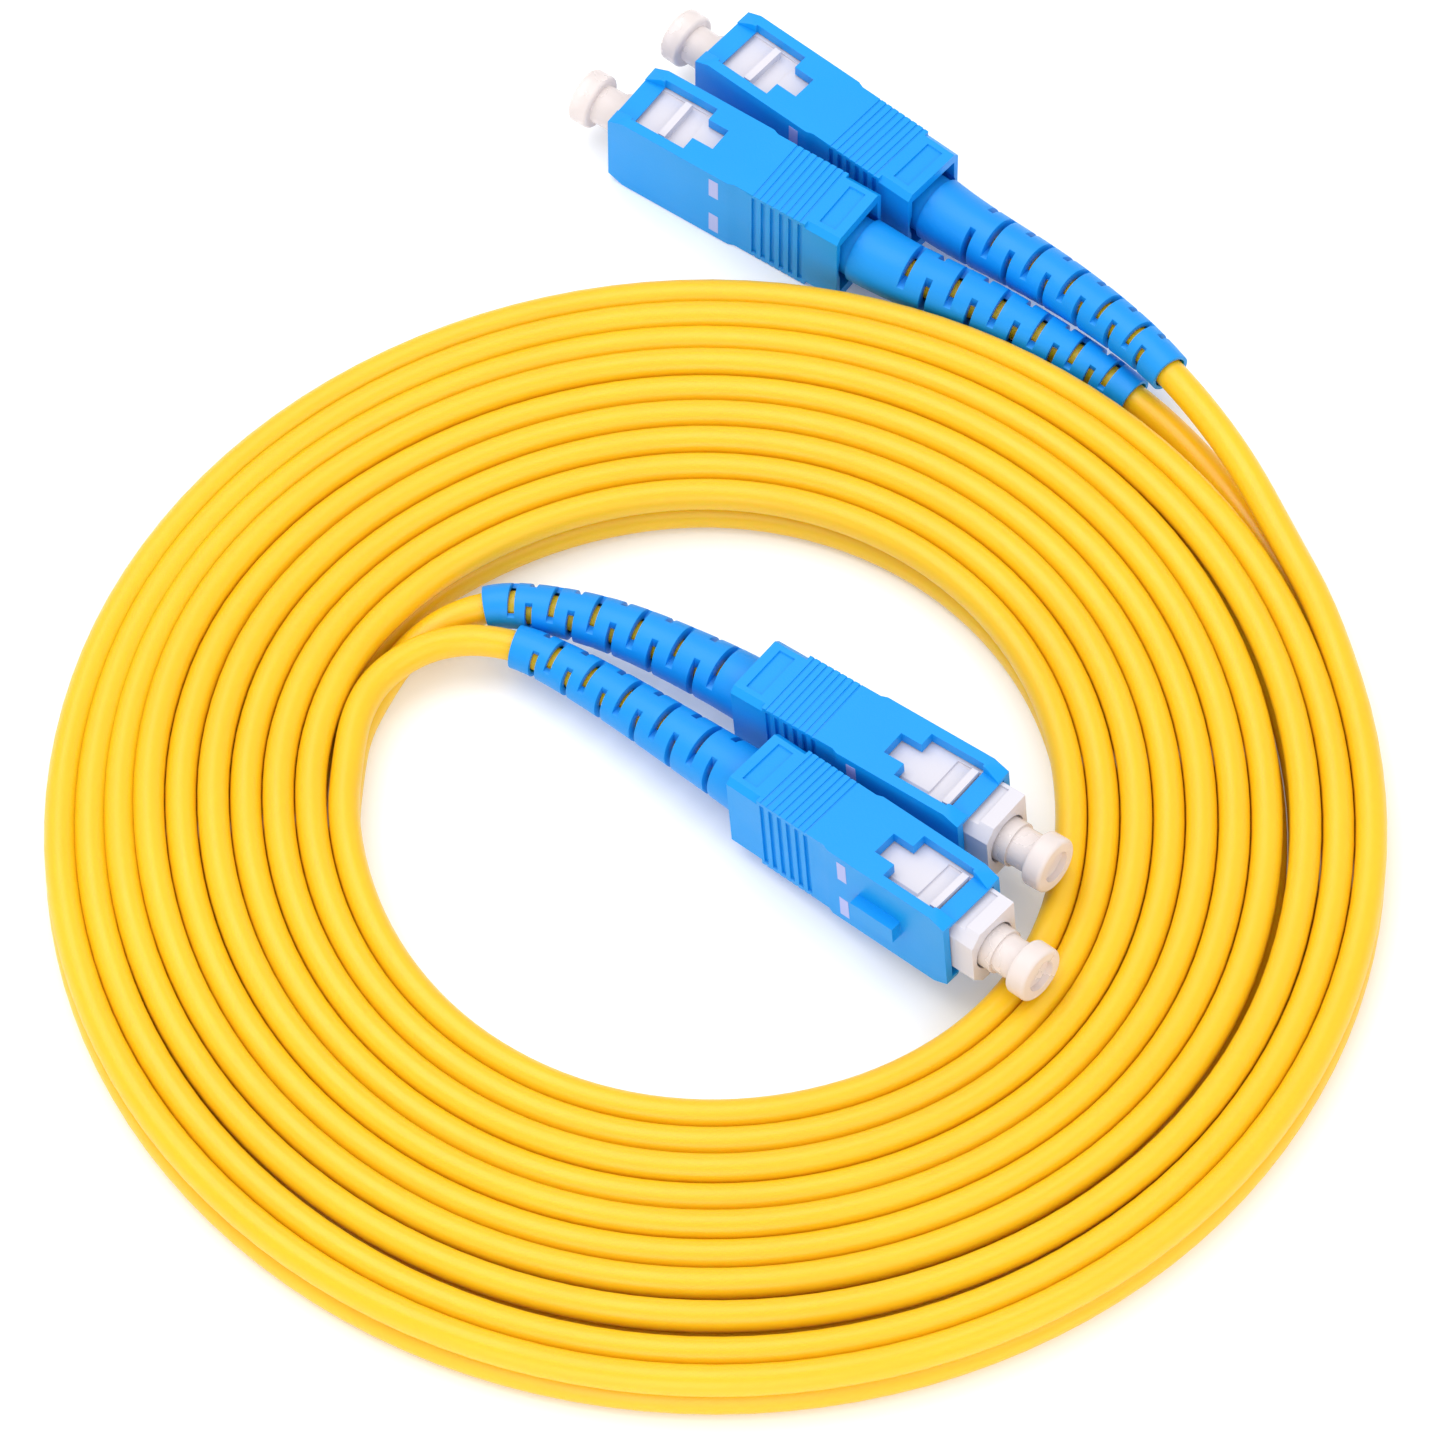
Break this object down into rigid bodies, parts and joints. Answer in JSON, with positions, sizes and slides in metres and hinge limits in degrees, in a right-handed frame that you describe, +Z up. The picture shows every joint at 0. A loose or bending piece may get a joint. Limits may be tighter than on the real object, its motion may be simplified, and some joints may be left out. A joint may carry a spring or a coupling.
{
  "type": "fiber optic patch cord",
  "caption": "Duplex fibre patch cord wound in a flat spiral, with push-pull square plugs, slotted boots and dust caps at both ends.",
  "frame": {"origin": "on the table, under the middle of the whole assembly's box", "axes": "+Z up from the table; +Y towards the outer pair of plugs; the coil lies flat in X and Y"},
  "size_m": [0.1164, 0.1461, 0.0123],
  "materials": {
    "yellow_jacket": "satin extruded jacket",
    "blue_housing": "satin moulded",
    "blue_boot": "soft moulded",
    "white_frame": "satin moulded",
    "cap_plastic": "milky translucent",
    "zirconia": "polished ceramic",
    "nickel_silver": "turned",
    "spring_steel": "drawn wire",
    "stop_ring_metal": "turned",
    "crimp_metal": "plated",
    "aramid": "yarn",
    "buffered_fibre": "smooth"
  },
  "bodies": {
    "cord": {"cord_coil": "yellow_jacket", "plug_frame_a1": "white_frame", "spring_a1": "spring_steel", "stop_ring_a1": "stop_ring_metal", "aramid_yarn_a1": "aramid", "crimp_ring_a1": "crimp_metal", "fibre_a1": "buffered_fibre", "boot_a1": "blue_boot", "leg_a1": "yellow_jacket", "plug_frame_a2": "white_frame", "spring_a2": "spring_steel", "stop_ring_a2": "stop_ring_metal", "aramid_yarn_a2": "aramid", "crimp_ring_a2": "crimp_metal", "fibre_a2": "buffered_fibre", "boot_a2": "blue_boot", "leg_a2": "yellow_jacket", "plug_frame_b1": "white_frame", "spring_b1": "spring_steel", "stop_ring_b1": "stop_ring_metal", "aramid_yarn_b1": "aramid", "crimp_ring_b1": "crimp_metal", "fibre_b1": "buffered_fibre", "boot_b1": "blue_boot", "leg_b1": "yellow_jacket", "plug_frame_b2": "white_frame", "spring_b2": "spring_steel", "stop_ring_b2": "stop_ring_metal", "aramid_yarn_b2": "aramid", "crimp_ring_b2": "crimp_metal", "fibre_b2": "buffered_fibre", "boot_b2": "blue_boot", "leg_b2": "yellow_jacket"},
    "grip_a1": {"grip_a1": "blue_housing"},
    "ferrule_a1": {"ferrule_a1": "zirconia", "ferrule_flange_a1": "nickel_silver"},
    "dust_cap_a1": {"dust_cap_a1": "cap_plastic"},
    "grip_a2": {"grip_a2": "blue_housing"},
    "ferrule_a2": {"ferrule_a2": "zirconia", "ferrule_flange_a2": "nickel_silver"},
    "dust_cap_a2": {"dust_cap_a2": "cap_plastic"},
    "grip_b1": {"grip_b1": "blue_housing"},
    "ferrule_b1": {"ferrule_b1": "zirconia", "ferrule_flange_b1": "nickel_silver"},
    "dust_cap_b1": {"dust_cap_b1": "cap_plastic"},
    "grip_b2": {"grip_b2": "blue_housing"},
    "ferrule_b2": {"ferrule_b2": "zirconia", "ferrule_flange_b2": "nickel_silver"},
    "dust_cap_b2": {"dust_cap_b2": "cap_plastic"}
  },
  "joints": [
    {"name": "grip_slide_a1", "type": "slide", "parent": "cord", "child": "grip_a1", "axis": [-0.7604, 0.6494, 0], "range_m": [-0.0024, 0]},
    {"name": "ferrule_slide_a1", "type": "slide", "parent": "cord", "child": "ferrule_a1", "axis": [-0.7604, 0.6494, 0], "range_m": [-0.001, 0], "stiffness_N_per_m": 1000, "springref_m": 0.002, "deforming": ["spring_a1"]},
    {"name": "dust_cap_slide_a1", "type": "slide", "parent": "cord", "child": "dust_cap_a1", "axis": [-0.7604, 0.6494, 0], "range_m": [0, 0.012]},
    {"name": "grip_slide_a2", "type": "slide", "parent": "cord", "child": "grip_a2", "axis": [-0.8192, 0.5736, 0], "range_m": [-0.0024, 0]},
    {"name": "ferrule_slide_a2", "type": "slide", "parent": "cord", "child": "ferrule_a2", "axis": [-0.8192, 0.5736, 0], "range_m": [-0.001, 0], "stiffness_N_per_m": 1000, "springref_m": 0.002, "deforming": ["spring_a2"]},
    {"name": "dust_cap_slide_a2", "type": "slide", "parent": "cord", "child": "dust_cap_a2", "axis": [-0.8192, 0.5736, 0], "range_m": [0, 0.012]},
    {"name": "grip_slide_b1", "type": "slide", "parent": "cord", "child": "grip_b1", "axis": [0.75, -0.6566, 0.0802], "range_m": [0, 0.0024]},
    {"name": "ferrule_slide_b1", "type": "slide", "parent": "cord", "child": "ferrule_b1", "axis": [0.75, -0.6566, 0.0802], "range_m": [-0.001, 0], "stiffness_N_per_m": 1000, "springref_m": 0.002, "deforming": ["spring_b1"]},
    {"name": "dust_cap_slide_b1", "type": "slide", "parent": "cord", "child": "dust_cap_b1", "axis": [0.75, -0.6566, 0.0802], "range_m": [0, 0.012]},
    {"name": "grip_slide_b2", "type": "slide", "parent": "cord", "child": "grip_b2", "axis": [0.7887, -0.6096, 0.0802], "range_m": [0, 0.0024]},
    {"name": "ferrule_slide_b2", "type": "slide", "parent": "cord", "child": "ferrule_b2", "axis": [0.7887, -0.6096, 0.0802], "range_m": [-0.001, 0], "stiffness_N_per_m": 1000, "springref_m": 0.002, "deforming": ["spring_b2"]},
    {"name": "dust_cap_slide_b2", "type": "slide", "parent": "cord", "child": "dust_cap_b2", "axis": [0.7887, -0.6096, 0.0802], "range_m": [0, 0.012]}
  ]
}
